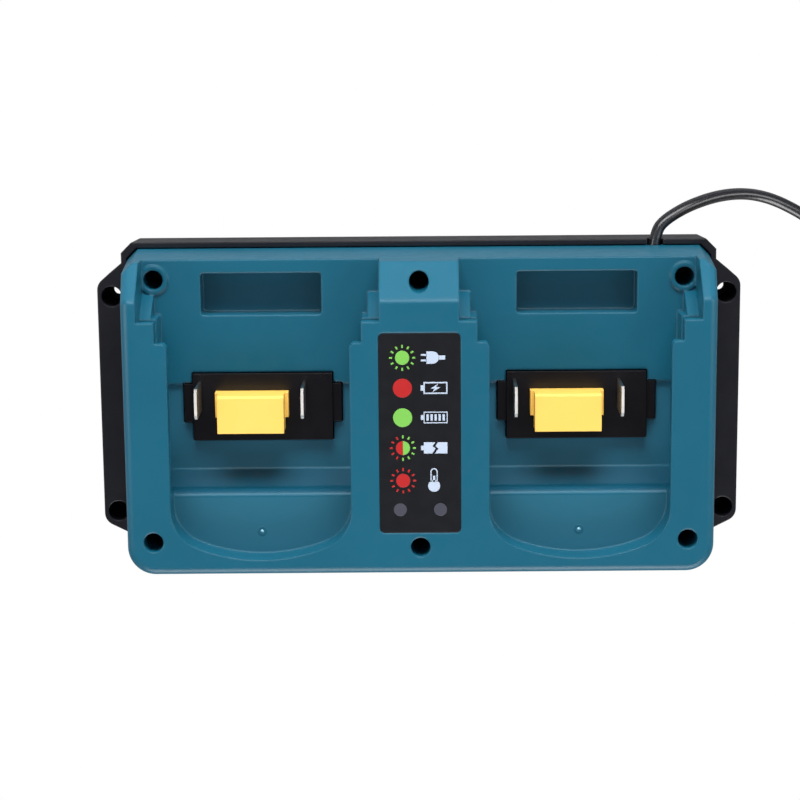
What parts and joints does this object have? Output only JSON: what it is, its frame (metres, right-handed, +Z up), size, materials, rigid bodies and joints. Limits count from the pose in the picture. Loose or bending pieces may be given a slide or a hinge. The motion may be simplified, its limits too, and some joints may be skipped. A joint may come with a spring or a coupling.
{
  "type": "power tool battery charger",
  "caption": "Two-bay desktop charger for slide-on power tool batteries, with rail bays, terminals, status label and coiled mains lead.",
  "frame": {"origin": "centre of the tray's footprint on its underside", "axes": "+X to the right along the case, +Y to the rear where packs slide in and the lead leaves, +Z up"},
  "size_m": [0.2815, 0.1438, 0.06],
  "materials": {
    "teal_abs": "satin moulded ABS",
    "black_abs": "fine textured ABS",
    "black_nylon": "satin glass-filled nylon",
    "yellow_nylon": "satin nylon",
    "nickel_brass": "polished nickel plate",
    "gold_contact": "flash gold plate",
    "zinc_steel": "zinc plated",
    "black_steel": "black oxide",
    "label_film": "matt polycarbonate film",
    "clear_pc": "clear polycarbonate",
    "lamp_epoxy": "clear epoxy",
    "green_board": "solder mask",
    "black_epoxy": "moulded epoxy",
    "aluminium": "mill finish",
    "ferrite": "pressed ferrite",
    "copper_wire": "enamelled",
    "tape_winding": "glossy tape",
    "can_sleeve": "PET sleeve",
    "film_capacitor": "epoxy filled box",
    "glass_fuse": "clear glass",
    "red_insulation": "silicone insulation",
    "wire_insulation": "PVC insulation",
    "black_pvc": "glossy flexible PVC",
    "powder_core": "painted toroid"
  },
  "bodies": {
    "root": {"top_cover": "teal_abs", "base_tray": "black_abs", "terminal_block_left": "black_nylon", "terminal_block_right": "black_nylon", "power_blades_left": "nickel_brass", "power_blades_right": "nickel_brass", "connector_left": "yellow_nylon", "connector_right": "yellow_nylon", "signal_contacts_left": "gold_contact", "signal_contacts_right": "gold_contact", "battery_leads_left": "red_insulation", "battery_leads_right": "red_insulation", "housing_screws": "black_steel", "terminal_screws": "zinc_steel", "board_screws": "zinc_steel", "indicator_screws": "zinc_steel", "clamp_screws": "zinc_steel", "indicator_label": "label_film", "light_pipes": "clear_pc", "indicator_lamps": "lamp_epoxy", "indicator_board": "green_board", "main_board": "green_board", "primary_heatsink": "aluminium", "secondary_heatsink": "aluminium", "switching_transistor": "black_epoxy", "output_rectifier": "black_epoxy", "bridge_rectifier": "black_epoxy", "mains_filter_capacitor": "film_capacitor", "bulk_capacitors": "can_sleeve", "output_capacitors": "can_sleeve", "fuse": "glass_fuse", "control_chips": "black_epoxy", "choke_core": "ferrite", "choke_winding": "copper_wire", "output_choke_core": "powder_core", "output_choke_winding": "copper_wire", "transformer_core": "ferrite", "transformer_winding": "tape_winding", "cord_tail": "black_pvc", "mains_cord": "black_pvc", "mains_cord_coil": "black_pvc", "mains_cord_end": "black_pvc", "mains_wires": "wire_insulation", "cord_clamp": "black_nylon", "plug_body": "black_pvc", "plug_pins": "nickel_brass"}
  },
  "joints": []
}
